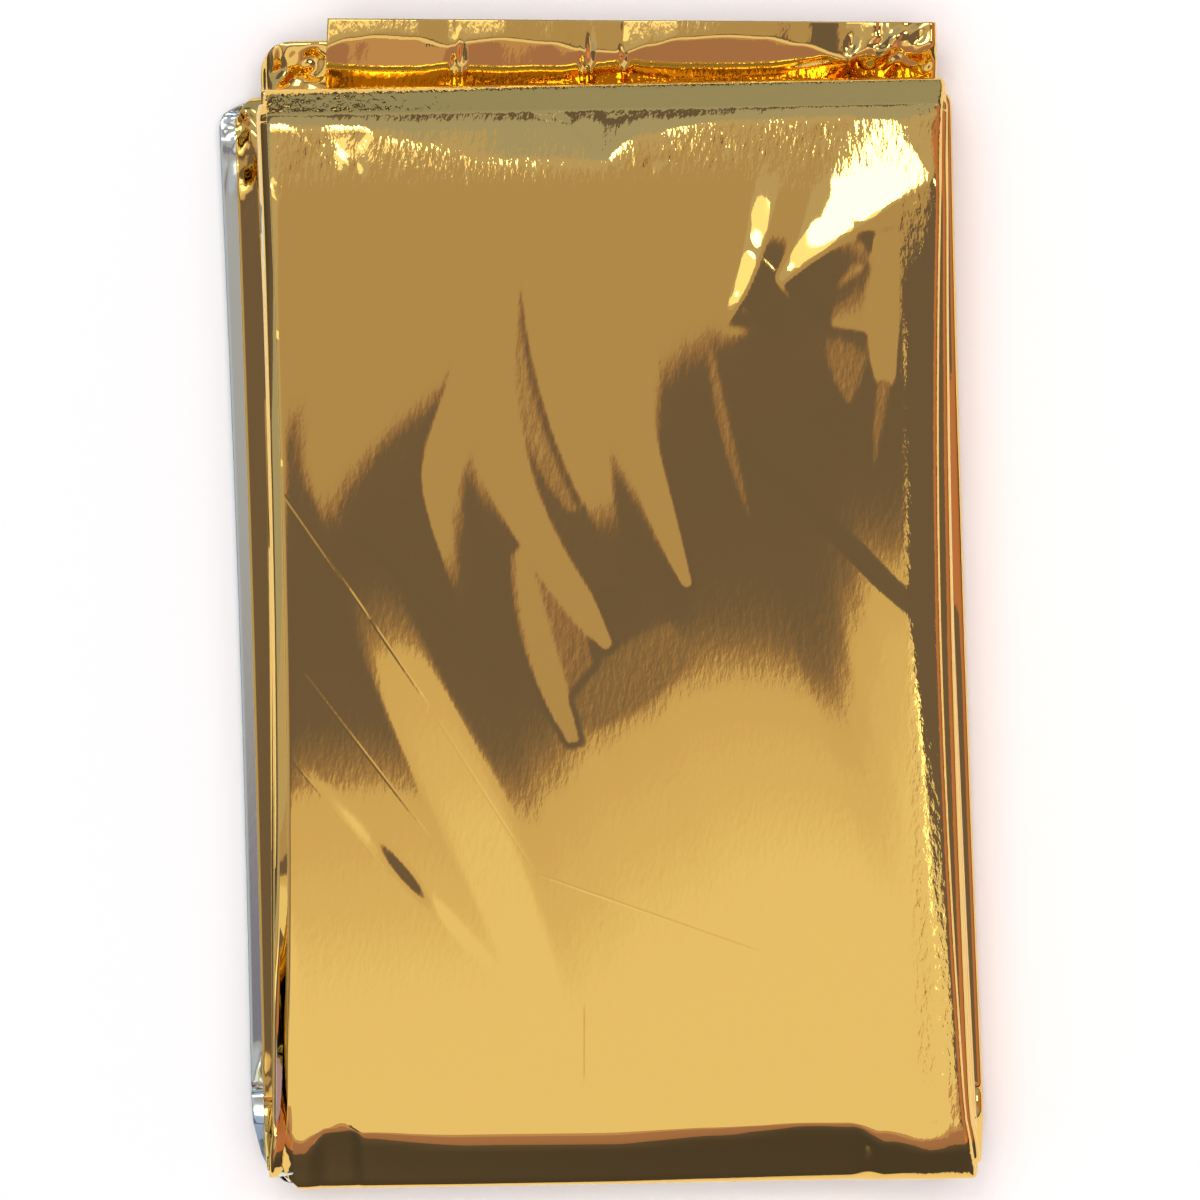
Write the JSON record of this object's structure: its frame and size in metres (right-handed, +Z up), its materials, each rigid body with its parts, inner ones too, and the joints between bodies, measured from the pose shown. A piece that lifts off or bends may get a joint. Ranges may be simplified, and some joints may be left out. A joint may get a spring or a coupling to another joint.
{
  "type": "emergency foil blanket, folded",
  "caption": "Gold and silver metallised film rescue blanket, folded flat into a pocket-sized packet of even layers with rounded folds.",
  "frame": {"origin": "under the middle of the packet's box, on the surface that it lies on", "axes": "+X across the packet, +Y along it towards the free ends of the strip, +Z up through the layers to the front face"},
  "size_m": [0.088, 0.1372, 0.0148],
  "materials": {
    "gold_film": "bright gold vapour-coated polyester film, silver on its other side, slightly crinkled"
  },
  "bodies": {
    "root": {"foil_blanket": "gold_film"}
  },
  "joints": []
}
